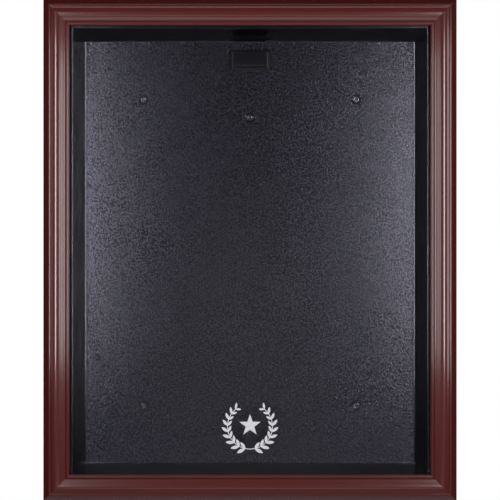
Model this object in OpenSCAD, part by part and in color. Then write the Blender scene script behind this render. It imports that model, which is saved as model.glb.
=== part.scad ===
// Wall-hung display case for a folded-out shirt: a shallow formed tray in a timber case, closed by a
// glazed moulding door that swings on three butt hinges. Millimetres, +Z up, front towards -Y.
// The wall is the plane y = 0, and the origin is the middle of the four wall screws.

/* [Overall size] */
// Width of the door, the widest piece
door_w = 880; // [720:10:1060]
// Height of the door, the tallest piece
door_h = 1068; // [880:2:1290]
// Depth of the case, from the wall to the front of the tray's flange
case_depth = 51; // [42:1:80]
// Air gap between the tray's flange and the back of the closed door
door_gap = 2.5; // [2.4:0.1:6]

/* [Door moulding] */
// Width of the moulding's face
rail_w = 56.5; // [50:0.5:70]
// Thickness of the moulding, back to crown
rail_t = 22.5; // [20:0.5:30]
// Height of the plain outer edge, below the sloping shoulder
edge_t = 5; // [3:0.5:8]
// Width of the sloping shoulder
shoulder_w = 10; // [6:0.5:12]
// Radius that rolls the shoulder over at its top
shoulder_r = 6; // [4:0.5:7]
// Radius of the broad crown
crown_r = 25; // [20:1:32]
// Radius of the half-round bead along the opening
bead_r = 4.5; // [3:0.5:6]
// Radius of the fine groove beside the shoulder
quirk_r = 1.2; // [0.8:0.1:1.5]
// Width of the rebate that holds the pane
rebate_w = 10.5; // [8:0.5:14]
// Depth of that rebate from the door's back
rebate_t = 9; // [7.5:0.5:11]

/* [Glazing] */
// Thickness of the acrylic pane
pane_t = 3; // [2:0.5:5]
// Free play round the pane's edges
pane_play = 1; // [0.5:0.25:3]
// Brads along each upright stop
side_brads = 5; // [2:1:9]
// Brads along the top and bottom stops
end_brads = 4; // [2:1:7]
// Width across the decorative wreath on the pane
emblem_d = 126; // [60:2:160]
// Height of the wreath's middle above the sight edge
emblem_rise = 102; // [80:2:240]

/* [Tray] */
// Thickness of the formed sheet
tray_t = 3; // [2:0.5:4]
// How far the sloping walls lean in
wall_lean = 23.5; // [10:0.5:40]
// How far the tray hangs below the middle of the door
tray_drop = 5.5; // [0:0.5:8]
// Width of flange left in sight beside the opening
flange_show = 5; // [0:0.5:12]
// How much higher than the sight opening the tray's mouth is
mouth_extra = 2; // [-8:1:8]
// Air space between the panel and the wall
panel_gap = 4; // [3.8:0.1:12]

/* [Wall fixing] */
// From the panel's side edges in to the wall screws
wall_in_x = 126.5; // [80:0.5:200]
// From the panel's top and bottom edges in to the wall screws
wall_in_z = 125; // [110:1:200]
// From the panel's top edge down to the single middle screw
middle_down = 164; // [120:1:260]
// Bore of the eyelets that take the wall screws
eyelet_bore = 5.5; // [4:0.5:7]
// Width of the dished recess round each eyelet
dimple_d = 22; // [20:1:34]

/* [Rod bracket] */
// From the panel's top edge down to the bracket's middle
bracket_down = 41; // [35:1:80]
// Width of its base
bracket_w = 88; // [70:1:120]
// Height of its base
bracket_h = 46; // [40:1:60]
// Width of the hooked lip
lip_w = 72.5; // [50:0.5:76]
// Gap that the hanging rod drops into
rod_gap = 14.5; // [10:0.5:17]

/* [Case timber] */
// Width of the case battens
batten_w = 32; // [24:1:44]
// How far the door overhangs the case all round
overhang = 8; // [7.5:0.5:12]

/* [Hinges and catches] */
// Height of each hinge
hinge_h = 60; // [40:5:90]
// From the door's top and bottom ends in to the middles of the outer hinges
hinge_from_end = 154; // [120:2:200]
// Width of a hinge leaf
leaf_w = 22; // [18:1:24]
// Radius of the knuckles
knuckle_r = 3; // [2.5:0.1:3.6]
// Radius of the hinge pin
hinge_pin_r = 1.5; // [1.2:0.1:1.8]
// From the door's top and bottom ends in to the magnets
magnet_from_end = 204; // [180:2:230]
// Radius of the magnet cups
cup_r = 5; // [4:0.5:6]

/* [Hidden] */
$fn = 48;

cut = 1;             // overrun of a cut past the face it opens
fit = 0.05;          // radial room round screws, brads and cups
play = 0.3;          // room between pieces that move past each other
run_fit = 0.05;      // radial running clearance of the hinge pin

// Planes, counted from the wall
door_back = -(case_depth + door_gap);
pane_front = door_back - rebate_t;
pane_back = pane_front + pane_t;
flange_front = -case_depth;
batten_front = flange_front + tray_t;
panel_rear = -panel_gap;
panel_front = panel_rear - tray_t;

// Openings and outlines, as whole widths and heights
sight_w = door_w - 2 * rail_w;
sight_h = door_h - 2 * rail_w;
case_w = door_w - 2 * overhang;
case_h = door_h - 2 * overhang;
mouth_w = sight_w - 2 * flange_show;
mouth_h = sight_h + mouth_extra;
panel_w = mouth_w - 2 * wall_lean;
panel_h = mouth_h - 2 * wall_lean;
wall_hole_x = panel_w / 2 - wall_in_x;
wall_hole_z = panel_h / 2 - wall_in_z;
middle_hole_z = panel_h / 2 - middle_down;
bracket_z = panel_h / 2 - bracket_down;
hinge_pitch = door_h / 2 - hinge_from_end;
magnet_pitch = door_h / 2 - magnet_from_end;
flange_inset = 5;    // from the case's outer face to the edge of the tray's flange
flange_w = case_w - 2 * flange_inset;
flange_h = case_h - 2 * flange_inset;
lean = wall_lean / (panel_front - flange_front);      // run of the walls per millimetre of depth
wall_level = tray_t * sqrt(1 + lean * lean);          // sheet thickness measured level
rear_over = wall_level - lean * tray_t;               // how far the panel's rear stands outside its front

// Moulding section: u runs from the outer edge to the opening, t from the back to the front
crown_from_opening = 27.5;
crown_u = rail_w - crown_from_opening;
crown_t = rail_t - crown_r;
shoulder_tilt = [-50, 10];                            // where each curve starts and ends, in degrees
quirk_tilt = [250, 120];
crown_tilt = [-28, 20];
bead_tilt = [-75, 90];
run_start = [crown_u + crown_r * sin(crown_tilt[1]), crown_t + crown_r * cos(crown_tilt[1])];
run_from_bead = 2.3;                                  // room for the flat fillet and its rise
run_end_u = rail_w - 2 * bead_r - run_from_bead;      // where that run meets the flat fillet
run_end_t = run_start[1] - (run_end_u - run_start[0]) * tan(crown_tilt[1]);
fillet_w = 1.4;
bead_drop = 3.9;                                      // tops of the bead and shoulder below the crown
shoulder_drop = 3.7;
bead_top = rail_t - bead_drop;
shoulder_top = rail_t - shoulder_drop;
shoulder_u = shoulder_w + 4.6;                        // middle of the shoulder's rounding
quirk_u = shoulder_w + 6.4;                           // middle of the fine groove's near lip

// V-shaped corner nails
nail_leg = 5;
nail_t = 0.6;
nail_depth = 11;
nail_places = [15, 34];                               // from the door's corner

// Fasteners: shank radius, length, head radius, head height
batten_screw = [2.1, 62, 4.2, 2.4];
flange_screw = [1.75, 16, 3.6, 1.5];
leaf_screw = [1.3, 13, 2.6, 1.1];
strike_screw = [1.3, 13, 2.4, 1.1];
bracket_screw = [1.5, 15, 2.8, 1.8];
brad = [0.6, 6, 1, 0.5];
washer_t = 0.8;
washer_r = 6;
batten_mid = overhang + batten_w / 2;                 // middle of a batten, from the door's edge
side_x = door_w / 2 - batten_mid;
end_z = door_h / 2 - batten_mid;
corner_room_z = 66.5;                                 // outermost flange screws from the corners
corner_room_x = 87.5;
side_screws = [-2:2];
end_screws = [-1.5:1.5];
side_screw_pitch = (end_z - corner_room_z) / 2;
end_screw_pitch = (side_x - corner_room_x) / 1.5;
batten_screw_y = [batten_front * 0.3, batten_front * 0.7];

// Hinge
leaf_t = 1.2;
knuckles = 5;
knuckle_h = hinge_h / knuckles;
knuckle_air = 0.2;   // between a knuckle and the timber beside it
pivot_x = -(case_w / 2 + knuckle_r + knuckle_air);
pivot_y = door_back + knuckle_r + knuckle_air;
leaf_rear = pivot_y + leaf_w;                         // rear edge of the leaf on the case
leaf_screw_in = leaf_w / 2 - 1;                       // from a leaf's free edge to its screws
leg_in = 0.1;        // the leaf's bent leg sits this far inside the knuckle's outside
leaf_edge = pivot_x - knuckle_r + leg_in;             // outer edge of the leaf on the door
leaf_screw_z = [-hinge_h * 0.3, hinge_h * 0.3];
pin_head_r = 2.4;
pin_head_t = 1.2;

// Catches
cup_len = 16;
cup_rim = 1.5;
cup_rim_r = cup_r + cup_rim;
cup_rim_t = 0.8;
cup_wall = 1.4;
magnet_r = cup_r - cup_wall;
magnet_len = 7.5;
strike_over = 2;     // how far the strike disc reaches past the cup
strike_r = cup_r + strike_over;
strike_air = 0.5;    // between the strike disc and the magnet
strike_t = door_gap - cup_rim_t - strike_air;
bumper_r = 4.5;
bumper_in = 26;      // from the middle of the end battens

// Pane stops
stop_play = 0.8;     // room between a stop and the opening
stop_w = rebate_w - stop_play;
stop_sunk = 0.4;     // how far the stops stay below the door's back
stop_back = door_back - stop_sunk;
stop_y = (stop_back + pane_back) / 2;
rebate_out_w = sight_w + 2 * rebate_w;
rebate_out_h = sight_h + 2 * rebate_w;

// Bracket
base_t = 5;
base_bevel = 5.5;
lip_t = 3;
floor_t = 5;
lip_round = 8;
hook_rise = 0.5;     // bottom of the hook above the bevel
lip_drop = 6.5;      // top of the lip below the top of the base
hook_bottom = -bracket_h / 2 + base_bevel + hook_rise;
lip_top = bracket_h / 2 - lip_drop;
heel_r = 6;
hook_out = base_t + rod_gap + lip_t;                  // front of the lip from the panel
gap_z = hook_bottom + floor_t + rod_gap / 2;          // middle of the gap's round bottom
bracket_pilot = bracket_screw[1] - tray_t - washer_t + 1;
bracket_screw_x = lip_w / 3;
bracket_screw_z = hook_bottom + floor_t / 2;

// Eyelets and dimples
eyelet_wall = 1.25;
eyelet_rim = 2.5;
eyelet_r = eyelet_bore / 2 + eyelet_wall;
eyelet_rim_r = eyelet_r + eyelet_rim;
eyelet_rim_t = 1;
dimple_r = dimple_d / 2;
dimple_slope = 3;    // how much smaller the dimple's floor is than its mouth
dimple_floor_r = dimple_r - dimple_slope;
boss_over = tray_t - 1;                               // how far the dimple's rear stands outside its front

// Wreath and star, frosted on the front of the pane
emblem_t = 0.2;
emblem_z = -sight_h / 2 + emblem_rise;
leaf_pairs = 9;
branch_r = emblem_d * 0.38;
branch_from = -98;                                    // where a branch starts and ends, in degrees
branch_to = 50;
bare_stem = 20;                                       // degrees of branch below the first leaves
stem_w = emblem_d * 0.013;
first_leaf = 0.16;                                    // length of the lowest leaf, and how much each
leaf_shrink = 0.006;                                  // next one loses, as shares of the width
leaf_lean = [50, 130];                                // outer and inner leaf, from the branch's radius
leaf_size = [1, 0.85];
leaf_wide = [0.36, 0.32];
star_r = emblem_d * 0.19;
star_waist = 0.4;
star_rise = emblem_d * 0.02;

// ---------------------------------------------------------------- shared shapes

// Everything that hangs about the middle of the door rather than the middle of the tray
module about_door() translate([0, 0, tray_drop]) children();

// Four-sided block that tapers from (w0 x h0) at y0 to (w1 x h1) at y1, with mitred corners
module taper(y0, w0, h0, y1, w1, h1) {
    tall = max(h0, h1) + 2 * cut;
    wide = max(w0, w1) + 2 * cut;
    intersection() {
        linear_extrude(height = tall, center = true)
            polygon([[-w0 / 2, y0], [w0 / 2, y0], [w1 / 2, y1], [-w1 / 2, y1]]);
        rotate([90, 0, 90])
            linear_extrude(height = wide, center = true)
                polygon([[y0, -h0 / 2], [y0, h0 / 2], [y1, h1 / 2], [y1, -h1 / 2]]);
    }
}

// Block given by its middle and its low and high y
module slab(w, h, y_low, y_high)
    translate([-w / 2, y_low, -h / 2]) cube([w, y_high - y_low, h]);

// A screw or brad whose head faces +Z and stands on z = 0 (flat) or is sunk to it (countersunk)
module pan_screw(s, room = 0) {
    translate([0, 0, -s[1] - room]) cylinder(r = s[0] + room, h = s[1] + room);
    cylinder(r = s[2] + room, h = s[3]);
}

module sunk_screw(s, room = 0) {
    translate([0, 0, -s[1] - room]) cylinder(r = s[0] + room, h = s[1] + room);
    translate([0, 0, -s[3]]) cylinder(r1 = s[0] + room, r2 = s[2] + room, h = s[3]);
}

module brad_nail(room = 0) {
    translate([0, 0, -stop_w - brad[1] - room]) cylinder(r = brad[0] + room, h = stop_w + brad[1] + room);
    translate([0, 0, -brad[3]]) cylinder(r = brad[2] + room, h = brad[3]);
}

// Turns a piece whose top faces +Z to face the front (-Y), the back (+Y) or sideways
module face_front() rotate([90, 0, 0]) children();
module face_back() rotate([-90, 0, 0]) children();
module face_left() rotate([0, -90, 0]) children();
module face_right() rotate([0, 90, 0]) children();

// ---------------------------------------------------------------- where fasteners stand

module at_wall_holes()
    for (p = wall_holes()) translate([p[0], 0, p[1]]) children();

function wall_holes() = [
    [-wall_hole_x, wall_hole_z], [wall_hole_x, wall_hole_z],
    [-wall_hole_x, -wall_hole_z], [wall_hole_x, -wall_hole_z],
    [0, middle_hole_z]
];

module at_flange_screws() {
    for (side = [-1, 1]) {
        for (k = side_screws)
            translate([side * side_x, flange_front, k * side_screw_pitch]) face_front() children();
        for (k = end_screws)
            translate([k * end_screw_pitch, flange_front, side * end_z]) face_front() children();
    }
}

module at_batten_screws(side) {
    for (end = [-1, 1], y = batten_screw_y)
        translate([side * case_w / 2, y, end * end_z])
            rotate([0, side * 90, 0]) children();
}

module at_bracket_screws() {
    for (side = [-1, 1])
        translate([side * bracket_screw_x, 0, bracket_z + bracket_screw_z]) children();
}

function hinge_z(place) = place * hinge_pitch;

module at_case_leaf_screws()
    for (place = [-1:1], dz = leaf_screw_z)
        translate([-case_w / 2, leaf_rear - leaf_screw_in, hinge_z(place) + dz])
            face_left() children();

module at_door_leaf_screws()
    for (place = [-1:1], dz = leaf_screw_z)
        translate([pivot_x + leaf_w - leaf_screw_in, door_back, hinge_z(place) + dz])
            face_back() children();

module at_magnets(y, end)
    translate([side_x, y, end * magnet_pitch]) children();

module at_bumpers()
    for (sx = [-1, 1], sz = [-1, 1])
        translate([sx * side_x, door_back, sz * (end_z - bumper_in)]) children();

// ---------------------------------------------------------------- case

module back_tray() color([0.09, 0.09, 0.11]) difference() {
    union() {
        about_door() slab(flange_w, flange_h, flange_front, batten_front);
        taper(flange_front, mouth_w + 2 * wall_level, mouth_h + 2 * wall_level,
              panel_rear, panel_w + 2 * rear_over, panel_h + 2 * rear_over);
        at_wall_holes() translate([0, panel_rear - tray_t / 2, 0]) face_back()
            cylinder(r1 = dimple_r + boss_over, r2 = dimple_floor_r + boss_over, h = panel_gap + tray_t / 2);
    }
    taper(flange_front - cut, mouth_w + 2 * lean * cut, mouth_h + 2 * lean * cut,
          panel_front, panel_w, panel_h);
    at_wall_holes() {
        translate([0, panel_front - cut, 0]) face_back()
            cylinder(r1 = dimple_r + cut, r2 = dimple_floor_r, h = panel_gap + cut);
        translate([0, cut, 0]) face_front() cylinder(r = eyelet_r + fit, h = 2 * tray_t);
    }
    about_door() {
        at_flange_screws() pan_screw(flange_screw, fit);
        for (end = [-1, 1])
            at_magnets(flange_front - cut, end) face_back() cylinder(r = cup_r + fit, h = tray_t + 2 * cut);
    }
    at_bracket_screws()
        translate([0, panel_front - cut, 0]) face_back()
            cylinder(r = bracket_screw[0] + fit, h = tray_t + 2 * cut);
}

module batten_upright(side) difference() {
    translate([side * (case_w - batten_w) / 2, 0, 0]) slab(batten_w, case_h, batten_front, 0);
    at_batten_screws(side) sunk_screw(batten_screw, fit);
    at_flange_screws() pan_screw(flange_screw, fit);
}

module batten_cross(end) difference() {
    translate([0, 0, end * (case_h - batten_w) / 2]) slab(case_w - 2 * batten_w, batten_w, batten_front, 0);
    for (side = [-1, 1]) at_batten_screws(side) sunk_screw(batten_screw, fit);
    at_flange_screws() pan_screw(flange_screw, fit);
}

module batten_top() color([0.06, 0.05, 0.05]) about_door() batten_cross(1);
module batten_bottom() color([0.06, 0.05, 0.05]) about_door() batten_cross(-1);

module batten_left() color([0.06, 0.05, 0.05]) about_door() difference() {
    batten_upright(-1);
    for (place = [-1:1])
        translate([-case_w / 2 - cut, batten_front - cut, hinge_z(place) - hinge_h / 2 - fit])
            cube([leaf_t + cut, leaf_rear - batten_front + cut + fit, hinge_h + 2 * fit]);
    at_case_leaf_screws() sunk_screw(leaf_screw, fit);
}

module batten_right() color([0.06, 0.05, 0.05]) about_door() difference() {
    batten_upright(1);
    for (end = [-1, 1])
        at_magnets(flange_front, end) face_back() cylinder(r = cup_r + fit, h = cup_len + fit);
}

module batten_screws() color("dimgray") about_door()
    for (side = [-1, 1]) at_batten_screws(side) sunk_screw(batten_screw);

module flange_screws() color([0.15, 0.15, 0.16]) about_door() at_flange_screws() pan_screw(flange_screw);

// ---------------------------------------------------------------- rod bracket

// Side view of the hook: a back, a floor and an upright lip round a gap that is open above
module hook_section() difference() {
    union() {
        translate([-hook_out, hook_bottom + heel_r]) square([hook_out, lip_top - hook_bottom - heel_r]);
        translate([-hook_out + heel_r, hook_bottom]) square([hook_out - heel_r, heel_r + cut]);
        translate([-hook_out + heel_r, hook_bottom + heel_r]) circle(r = heel_r);
    }
    translate([-base_t - rod_gap / 2, gap_z]) circle(d = rod_gap);
    translate([-base_t - rod_gap, gap_z]) square([rod_gap, bracket_h]);
}

// Front view of the hook, with its two upper corners rounded
module hook_front() {
    translate([-lip_w / 2, hook_bottom]) square([lip_w, lip_top - hook_bottom - lip_round]);
    translate([-lip_w / 2 + lip_round, hook_bottom])
        square([lip_w - 2 * lip_round, lip_top - hook_bottom]);
    for (side = [-1, 1])
        translate([side * (lip_w / 2 - lip_round), lip_top - lip_round]) circle(r = lip_round);
}

module rod_bracket() color([0.07, 0.07, 0.08]) translate([0, panel_front, bracket_z]) difference() {
    union() {
        taper(0, bracket_w, bracket_h,
              -base_t, bracket_w - 2 * base_bevel, bracket_h - 2 * base_bevel);
        intersection() {
            rotate([90, 0, 90]) linear_extrude(height = lip_w, center = true) hook_section();
            face_front() linear_extrude(height = hook_out + cut) hook_front();
        }
    }
    for (side = [-1, 1])
        translate([side * bracket_screw_x, cut, bracket_screw_z]) face_front()
            cylinder(r = bracket_screw[0] + fit, h = bracket_pilot + cut);
}

module bracket_screws() color("silver") at_bracket_screws()
    translate([0, panel_rear + washer_t, 0]) face_back() pan_screw(bracket_screw);

module bracket_washers() color("silver") at_bracket_screws()
    translate([0, panel_rear, 0]) face_back() difference() {
        cylinder(r = washer_r, h = washer_t);
        translate([0, 0, -cut]) cylinder(r = bracket_screw[0] + fit, h = washer_t + 2 * cut);
    }

// ---------------------------------------------------------------- wall eyelets

module eyelet(index) color([0.2, 0.2, 0.22])
    translate([wall_holes()[index][0], 0, wall_holes()[index][1]]) face_front() difference() {
        union() {
            cylinder(r = eyelet_r, h = tray_t + eyelet_rim_t);
            translate([0, 0, tray_t]) cylinder(r = eyelet_rim_r, h = eyelet_rim_t);
        }
        translate([0, 0, -cut]) cylinder(d = eyelet_bore, h = tray_t + eyelet_rim_t + 2 * cut);
    }

module eyelet_top_left() eyelet(0);
module eyelet_top_right() eyelet(1);
module eyelet_bottom_left() eyelet(2);
module eyelet_bottom_right() eyelet(3);
module eyelet_middle() eyelet(4);

// ---------------------------------------------------------------- hinges

// Knuckles of one leaf: every second one, counted from the bottom
module knuckle_stack(first)
    for (k = [first:2:knuckles - 1])
        translate([0, 0, -hinge_h / 2 + k * knuckle_h + play / 2]) children();

module case_leaf(place) color([0.1, 0.1, 0.1]) about_door() difference() {
    translate([0, 0, hinge_z(place)]) {
        translate([-case_w / 2, pivot_y + knuckle_r - leg_in - leaf_t, -hinge_h / 2])
            cube([leaf_t, leaf_w - knuckle_r + leg_in + leaf_t, hinge_h]);
        knuckle_stack(0) difference() {
            union() {
                translate([pivot_x, pivot_y, 0]) cylinder(r = knuckle_r, h = knuckle_h - play);
                translate([pivot_x, pivot_y + knuckle_r - leg_in - leaf_t, 0])
                    cube([-case_w / 2 + leaf_t - pivot_x, leaf_t, knuckle_h - play]);
            }
            translate([pivot_x, pivot_y, -cut]) cylinder(r = hinge_pin_r, h = knuckle_h + 2 * cut);
        }
    }
    at_case_leaf_screws() sunk_screw(leaf_screw, fit);
}

module door_leaf(place) color([0.1, 0.1, 0.1]) about_door() difference() {
    translate([0, 0, hinge_z(place)]) {
        translate([leaf_edge, door_back - leaf_t, -hinge_h / 2])
            cube([leaf_w + knuckle_r - leg_in, leaf_t, hinge_h]);
        knuckle_stack(1) difference() {
            union() {
                translate([pivot_x, pivot_y, 0]) cylinder(r = knuckle_r, h = knuckle_h - play);
                translate([leaf_edge, door_back - leaf_t, 0])
                    cube([leaf_t, pivot_y - door_back + leaf_t, knuckle_h - play]);
            }
            translate([pivot_x, pivot_y, -cut])
                cylinder(r = hinge_pin_r + run_fit, h = knuckle_h + 2 * cut);
        }
    }
    at_door_leaf_screws() sunk_screw(leaf_screw, fit);
}

module hinge_pin(place) color("silver") about_door()
    translate([pivot_x, pivot_y, hinge_z(place)]) {
        cylinder(r = hinge_pin_r, h = hinge_h, center = true);
        for (end = [-1, 1])
            translate([0, 0, end * (hinge_h + pin_head_t - play) / 2])
                cylinder(r = pin_head_r, h = pin_head_t, center = true);
    }

module hinge_case_leaf_top() case_leaf(1);
module hinge_case_leaf_middle() case_leaf(0);
module hinge_case_leaf_bottom() case_leaf(-1);
module hinge_door_leaf_top() door_leaf(1);
module hinge_door_leaf_middle() door_leaf(0);
module hinge_door_leaf_bottom() door_leaf(-1);
module hinge_pin_top() hinge_pin(1);
module hinge_pin_middle() hinge_pin(0);
module hinge_pin_bottom() hinge_pin(-1);
module hinge_case_screws() color("dimgray") about_door() at_case_leaf_screws() sunk_screw(leaf_screw);
module hinge_door_screws() color("dimgray") about_door() at_door_leaf_screws() sunk_screw(leaf_screw);

// ---------------------------------------------------------------- magnetic catches

module magnet_cup(end) color("silver") about_door() at_magnets(flange_front, end) difference() {
    face_back() {
        cylinder(r = cup_r, h = cup_len);
        translate([0, 0, -cup_rim_t]) cylinder(r = cup_rim_r, h = cup_rim_t);
    }
    translate([0, -cup_rim_t - cut, 0]) face_back() cylinder(r = magnet_r, h = magnet_len + cup_rim_t + cut);
}

module magnet(end) color("gray") about_door() at_magnets(flange_front - cup_rim_t, end)
    face_back() cylinder(r = magnet_r, h = magnet_len + cup_rim_t);

module strike_plate(end) color("silver") about_door() at_magnets(door_back, end) difference() {
    face_back() cylinder(r = strike_r, h = strike_t);
    translate([0, strike_t, 0]) face_back() sunk_screw(strike_screw, fit);
}

module magnet_cup_upper() magnet_cup(1);
module magnet_cup_lower() magnet_cup(-1);
module magnet_upper() magnet(1);
module magnet_lower() magnet(-1);
module strike_plate_upper() strike_plate(1);
module strike_plate_lower() strike_plate(-1);

module at_strike_screws()
    for (end = [-1, 1]) at_magnets(door_back + strike_t, end) face_back() children();

module strike_screws() color("silver") about_door() at_strike_screws() sunk_screw(strike_screw);

module door_bumpers() color([0.8, 0.8, 0.8]) about_door()
    at_bumpers() face_back() cylinder(r = bumper_r, h = door_gap - play);

// ---------------------------------------------------------------- door moulding

// n + 1 points of an arc whose surface leans from one tilt to another, as seen by someone in front:
// negative leans to the outer edge, positive to the opening
function arc(u, t, r, tilt, n) = [
    for (k = [0:n]) let (a = tilt[0] + (tilt[1] - tilt[0]) * k / n) [u + r * sin(a), t + r * cos(a)]
];

module moulding_section() polygon(concat(
    [[0, 0], [0, edge_t]],
    arc(shoulder_u, shoulder_top - shoulder_r, shoulder_r, shoulder_tilt, 6),
    arc(quirk_u, shoulder_top, quirk_r, quirk_tilt, 5),
    arc(crown_u, crown_t, crown_r, crown_tilt, 12),
    [[run_end_u, run_end_t], [run_end_u + fillet_w, run_end_t]],
    arc(rail_w - bead_r, bead_top - bead_r, bead_r, bead_tilt, 11),
    [[rail_w, rebate_t], [rail_w - rebate_w, rebate_t], [rail_w - rebate_w, 0]]
));

// One moulding with its outer edge along X and its opening edge towards +Z, mitred at both ends
module mitred_rail(length) intersection() {
    translate([0, door_back, 0]) rotate([180, -90, 0])
        linear_extrude(height = length, center = true) moulding_section();
    translate([0, door_back + cut, 0]) face_front() linear_extrude(height = rail_t + 2 * cut)
        polygon([
            [-length / 2, 0], [length / 2, 0],
            [length / 2 - rail_w, rail_w], [-length / 2 + rail_w, rail_w]
        ]);
}

// Corner fastener: a thin steel V driven across the mitre from the back
module v_nail(room = 0) translate([0, 0, -room]) linear_extrude(height = nail_depth + 2 * room)
    for (side = [0, 1]) mirror([side, 0, 0]) polygon([
        [0, -nail_t - room], [nail_leg + room, nail_leg - nail_t],
        [nail_leg - nail_t, nail_leg + room], [0, room]
    ]);

module at_v_nails()
    for (sx = [-1, 1], sz = [-1, 1], in = nail_places)
        translate([sx * (door_w / 2 - in), door_back, sz * (door_h / 2 - in)])
            face_front() rotate([0, 0, -sx * sz * 45 + (sz > 0 ? 180 : 0)]) children();

module finished_rail(turn, length, half) difference() {
    rotate([0, turn, 0]) translate([0, 0, -half]) mitred_rail(length);
    at_v_nails() v_nail(fit);
    at_brads() brad_nail(fit);
}

module door_rail_bottom() color([0.3, 0.09, 0.08]) about_door() finished_rail(0, door_w, door_h / 2);
module door_rail_top() color([0.3, 0.09, 0.08]) about_door() finished_rail(180, door_w, door_h / 2);

module door_rail_left() color([0.3, 0.09, 0.08]) about_door() difference() {
    finished_rail(90, door_h, door_w / 2);
    for (place = [-1:1])
        translate([leaf_edge - fit, door_back - leaf_t, hinge_z(place) - hinge_h / 2 - fit])
            cube([leaf_w + knuckle_r - leg_in + 2 * fit, leaf_t + cut, hinge_h + 2 * fit]);
    at_door_leaf_screws() sunk_screw(leaf_screw, fit);
}

module door_rail_right() color([0.3, 0.09, 0.08]) about_door() difference() {
    finished_rail(-90, door_h, door_w / 2);
    at_strike_screws() sunk_screw(strike_screw, fit);
}

module door_v_nails() color("silver") about_door() at_v_nails() v_nail();

// ---------------------------------------------------------------- glazing

module acrylic_pane() color([0.8, 0.85, 0.9, 0.3]) about_door()
    slab(sight_w + 2 * (rebate_w - pane_play), sight_h + 2 * (rebate_w - pane_play), pane_front, pane_back);

module stop_cross(end) color([0.08, 0.06, 0.06]) about_door() difference() {
    translate([0, 0, end * (rebate_out_h - stop_w) / 2]) slab(rebate_out_w, stop_w, pane_back, stop_back);
    at_brads() brad_nail(fit);
}

module stop_upright(side) color([0.08, 0.06, 0.06]) about_door() difference() {
    translate([side * (rebate_out_w - stop_w) / 2, 0, 0])
        slab(stop_w, rebate_out_h - 2 * stop_w, pane_back, stop_back);
    at_brads() brad_nail(fit);
}

module pane_stop_top() stop_cross(1);
module pane_stop_bottom() stop_cross(-1);
module pane_stop_left() stop_upright(-1);
module pane_stop_right() stop_upright(1);

// Brads go through the stops, away from the pane's middle, into the moulding
module at_brads() {
    brad_x = rebate_out_w / 2 - stop_w;
    brad_z = rebate_out_h / 2 - stop_w;
    for (k = [0:side_brads - 1]) {
        z = (k - (side_brads - 1) / 2) * 2 * brad_z / side_brads;
        translate([-brad_x, stop_y, z]) face_right() children();
        translate([brad_x, stop_y, z]) face_left() children();
    }
    for (k = [0:end_brads - 1]) {
        x = (k - (end_brads - 1) / 2) * 2 * brad_x / end_brads;
        translate([x, stop_y, brad_z]) rotate([180, 0, 0]) children();
        translate([x, stop_y, -brad_z]) children();
    }
}

module stop_brads() color("silver") about_door() at_brads() brad_nail();

// Pointed leaf along +X, between two arcs
module wreath_leaf(length, width) {
    r = (length * length / 4 + width * width / 4) / width;
    translate([length / 2, 0]) intersection() {
        translate([0, r - width / 2]) circle(r = r);
        translate([0, width / 2 - r]) circle(r = r);
    }
}

module stem() intersection() {
    difference() {
        circle(r = branch_r + stem_w / 2);
        circle(r = branch_r - stem_w / 2);
    }
    polygon(concat([[0, 0]], [
        for (a = [branch_from:(branch_to - branch_from) / 4:branch_to]) emblem_d * [cos(a), sin(a)]
    ]));
}

module wreath_branch() {
    stem();
    for (k = [0:leaf_pairs - 1]) {
        a = branch_from + bare_stem + (branch_to - branch_from - bare_stem) * k / (leaf_pairs - 1);
        size = emblem_d * (first_leaf - leaf_shrink * k);
        rotate([0, 0, a]) translate([branch_r, 0])
            for (i = [0, 1])
                rotate([0, 0, leaf_lean[i]]) wreath_leaf(size * leaf_size[i], size * leaf_wide[i]);
    }
}

module star(r) polygon([
    for (k = [0:9]) let (a = 90 + 36 * k, q = k % 2 == 0 ? r : r * star_waist) [q * cos(a), q * sin(a)]
]);

module pane_emblem() color([0.85, 0.85, 0.87]) about_door() translate([0, pane_front, emblem_z])
    face_front() linear_extrude(height = emblem_t) {
        wreath_branch();
        mirror([1, 0, 0]) wreath_branch();
        translate([0, star_rise]) star(star_r);
    }

// ---------------------------------------------------------------- pieces

back_tray();
batten_top();
batten_bottom();
batten_left();
batten_right();
batten_screws();
flange_screws();
rod_bracket();
bracket_screws();
bracket_washers();
eyelet_top_left();
eyelet_top_right();
eyelet_bottom_left();
eyelet_bottom_right();
eyelet_middle();
hinge_case_leaf_top();
hinge_case_leaf_middle();
hinge_case_leaf_bottom();
hinge_pin_top();
hinge_pin_middle();
hinge_pin_bottom();
hinge_case_screws();
magnet_cup_upper();
magnet_cup_lower();
magnet_upper();
magnet_lower();
door_rail_top();
door_rail_bottom();
door_rail_left();
door_rail_right();
door_v_nails();
acrylic_pane();
pane_emblem();
pane_stop_top();
pane_stop_bottom();
pane_stop_left();
pane_stop_right();
stop_brads();
hinge_door_leaf_top();
hinge_door_leaf_middle();
hinge_door_leaf_bottom();
hinge_door_screws();
strike_plate_upper();
strike_plate_lower();
strike_screws();
door_bumpers();
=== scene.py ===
"""Looks of a wall-hung display case for a shirt: black formed tray in a timber case, glazed mahogany door.

The pieces come in the order in which the case is put together, from the tray to the door, and the studio
comes last. Metres, +Z up, the front towards -Y, the wall at y = 0.
"""

import math

import bmesh
import bpy
from mathutils import Matrix, Vector


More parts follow.
